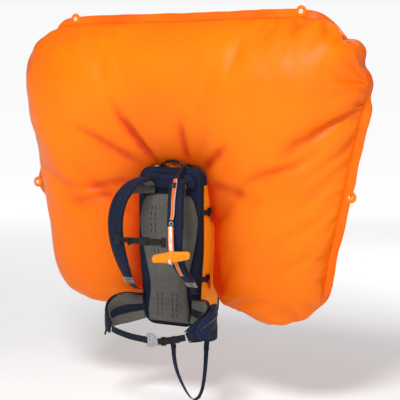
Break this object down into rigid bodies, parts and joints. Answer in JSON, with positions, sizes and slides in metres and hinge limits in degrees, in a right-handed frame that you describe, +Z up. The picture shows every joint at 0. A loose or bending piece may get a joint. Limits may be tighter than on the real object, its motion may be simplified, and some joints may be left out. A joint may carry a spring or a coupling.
{
  "type": "avalanche airbag backpack",
  "caption": "Ski-touring rucksack with a deployed horseshoe avalanche airbag, pull handle, gas inflator, chest strap, padded hip belt and leg loop.",
  "frame": {"origin": "middle of the back panel's front face, the face that lies on the wearer's back", "axes": "-Y out of the back panel towards the wearer, +X towards the wearer's left, +Z up"},
  "size_m": [1.2588, 0.4084, 1.1899],
  "materials": {
    "airbag_nylon": "thin coated ripstop nylon, slight gloss",
    "orange_fabric": "tight packcloth weave, matte",
    "navy_fabric": "coated packcloth weave, matte",
    "grey_foam": "moulded foam under brushed spacer mesh, matte",
    "black_webbing": "woven polyamide webbing, matte",
    "orange_webbing": "woven tape, matte",
    "black_plastic": "moulded, fine grain",
    "orange_plastic": "moulded, satin",
    "white_plastic": "moulded, satin",
    "frame_plastic": "sheet, satin",
    "aluminium": "anodised, satin",
    "brass": "turned",
    "cartridge_steel": "brushed",
    "rubber": "moulded, matte"
  },
  "bodies": {
    "pack": {"airbag": "airbag_nylon", "airbag_flange": "airbag_nylon", "back_panel": "grey_foam", "cartridge_cradle": "frame_plastic", "eyelet_side_l": "white_plastic", "eyelet_side_r": "white_plastic", "eyelet_top_l": "white_plastic", "eyelet_top_r": "white_plastic", "firing_head": "brass", "frame_sheet": "frame_plastic", "haul_loop": "black_webbing", "inflation_neck": "airbag_nylon", "inflator_housing": "black_plastic", "lever_pin": "aluminium", "neck_clamp": "aluminium", "pack_shell": "navy_fabric", "shoulder_strap_l": "navy_fabric", "shoulder_strap_r": "navy_fabric", "side_buckle_lower_l": "black_plastic", "side_buckle_lower_r": "black_plastic", "side_buckle_upper_l": "black_plastic", "side_buckle_upper_r": "black_plastic", "side_panel_l": "orange_fabric", "side_panel_r": "orange_fabric", "side_strap_lower_l": "black_webbing", "side_strap_lower_r": "black_webbing", "side_strap_upper_l": "black_webbing", "side_strap_upper_r": "black_webbing", "strap_webbing_l": "black_webbing", "strap_webbing_r": "black_webbing", "trigger_cable": "orange_webbing", "trigger_ring": "aluminium", "yoke_panel": "navy_fabric"},
    "main_flap": {"main_flap": "navy_fabric"},
    "zip_slider_l": {"zip_slider_l": "black_plastic"},
    "zip_slider_r": {"zip_slider_r": "black_plastic"},
    "zip_pull_l": {"zip_pull_l": "orange_webbing"},
    "zip_pull_r": {"zip_pull_r": "orange_webbing"},
    "trigger_handle": {"trigger_grip": "orange_plastic", "trigger_stem": "orange_webbing"},
    "firing_lever": {"firing_lever": "aluminium"},
    "firing_pin": {"firing_pin": "aluminium"},
    "gas_cartridge": {"gas_cartridge": "cartridge_steel"},
    "valve_flap_a": {"valve_flap_a": "rubber"},
    "valve_flap_b": {"valve_flap_b": "rubber"},
    "hip_l": {"hip_fin_l": "navy_fabric", "hip_pocket_l": "navy_fabric", "belt_webbing_l": "black_webbing", "belt_buckle_hook": "aluminium", "leg_loop": "black_webbing"},
    "hip_r": {"hip_fin_r": "navy_fabric", "belt_webbing_r": "black_webbing", "belt_buckle_plate": "aluminium"},
    "sternum": {"sternum_slider_l": "black_plastic", "sternum_slider_r": "black_plastic", "sternum_webbing_r": "black_webbing", "sternum_buckle_female": "black_plastic", "sternum_buckle_male": "black_plastic"},
    "ladder_lock_l": {"ladder_lock_l": "aluminium"},
    "ladder_lock_r": {"ladder_lock_r": "aluminium"}
  },
  "joints": [
    {"name": "flap_open", "type": "hinge", "parent": "pack", "child": "main_flap", "pos_m": [0, 0.164, -0.2506], "axis": [-1, 0, 0], "range_deg": [0, 100]},
    {"name": "zip_l_run", "type": "slide", "parent": "pack", "child": "zip_slider_l", "axis": [0, 0, -1], "range_m": [0, 0.2]},
    {"name": "zip_r_run", "type": "slide", "parent": "pack", "child": "zip_slider_r", "axis": [0, 0, -1], "range_m": [0, 0.2]},
    {"name": "zip_pull_l_swing", "type": "hinge", "parent": "zip_slider_l", "child": "zip_pull_l", "pos_m": [0.1142, 0.16, 0.1432], "axis": [0, -1, 0], "range_deg": [0, 55]},
    {"name": "zip_pull_r_swing", "type": "hinge", "parent": "zip_slider_r", "child": "zip_pull_r", "pos_m": [-0.1142, 0.16, 0.1432], "axis": [0, 1, 0], "range_deg": [0, 55]},
    {"name": "trigger_pull", "type": "slide", "parent": "pack", "child": "trigger_handle", "axis": [0, 0, -1], "range_m": [0, 0.03]},
    {"name": "lever_turn", "type": "hinge", "parent": "pack", "child": "firing_lever", "pos_m": [0.012, 0.08, 0.119], "axis": [0, -1, 0], "range_deg": [0, 20.5]},
    {"name": "firing_pin_stroke", "type": "slide", "parent": "pack", "child": "firing_pin", "axis": [0, 0, -1], "range_m": [0, 0.0036]},
    {"name": "cartridge_screw", "type": "hinge", "parent": "pack", "child": "gas_cartridge", "pos_m": [0, 0.08, 0], "axis": [0, 0, 1], "range_deg": [0, 720]},
    {"name": "valve_flap_a_lift", "type": "hinge", "parent": "pack", "child": "valve_flap_a", "pos_m": [0.0022, 0.08, 0.144], "axis": [0, -1, 0], "range_deg": [0, 75]},
    {"name": "valve_flap_b_lift", "type": "hinge", "parent": "pack", "child": "valve_flap_b", "pos_m": [-0.0022, 0.08, 0.144], "axis": [0, 1, 0], "range_deg": [0, 75]},
    {"name": "hip_l_open", "type": "hinge", "parent": "pack", "child": "hip_l", "pos_m": [0.08, 0.0072, -0.192], "axis": [0, 0, 1], "range_deg": [0, 21]},
    {"name": "hip_r_open", "type": "hinge", "parent": "pack", "child": "hip_r", "pos_m": [-0.08, 0.0072, -0.192], "axis": [0, 0, -1], "range_deg": [0, 21]},
    {"name": "sternum_height", "type": "slide", "parent": "pack", "child": "sternum", "axis": [0, 0, 1], "range_m": [-0.015, 0.03]},
    {"name": "ladder_lock_l_tilt", "type": "hinge", "parent": "pack", "child": "ladder_lock_l", "pos_m": [0.10926, -0.04905, -0.09469], "axis": [-1, 0, 0], "range_deg": [0, 25]},
    {"name": "ladder_lock_r_tilt", "type": "hinge", "parent": "pack", "child": "ladder_lock_r", "pos_m": [-0.092, -0.08386, -0.08938], "axis": [-1, 0, 0], "range_deg": [0, 25]}
  ],
  "couplings": [
    {"joint": "lever_turn", "follows": "trigger_pull", "rad_per_m": 11.6},
    {"joint": "firing_pin_stroke", "follows": "trigger_pull", "ratio": 0.1167},
    {"joint": "valve_flap_b_lift", "follows": "valve_flap_a_lift", "ratio": 1},
    {"joint": "hip_r_open", "follows": "hip_l_open", "ratio": 1}
  ]
}
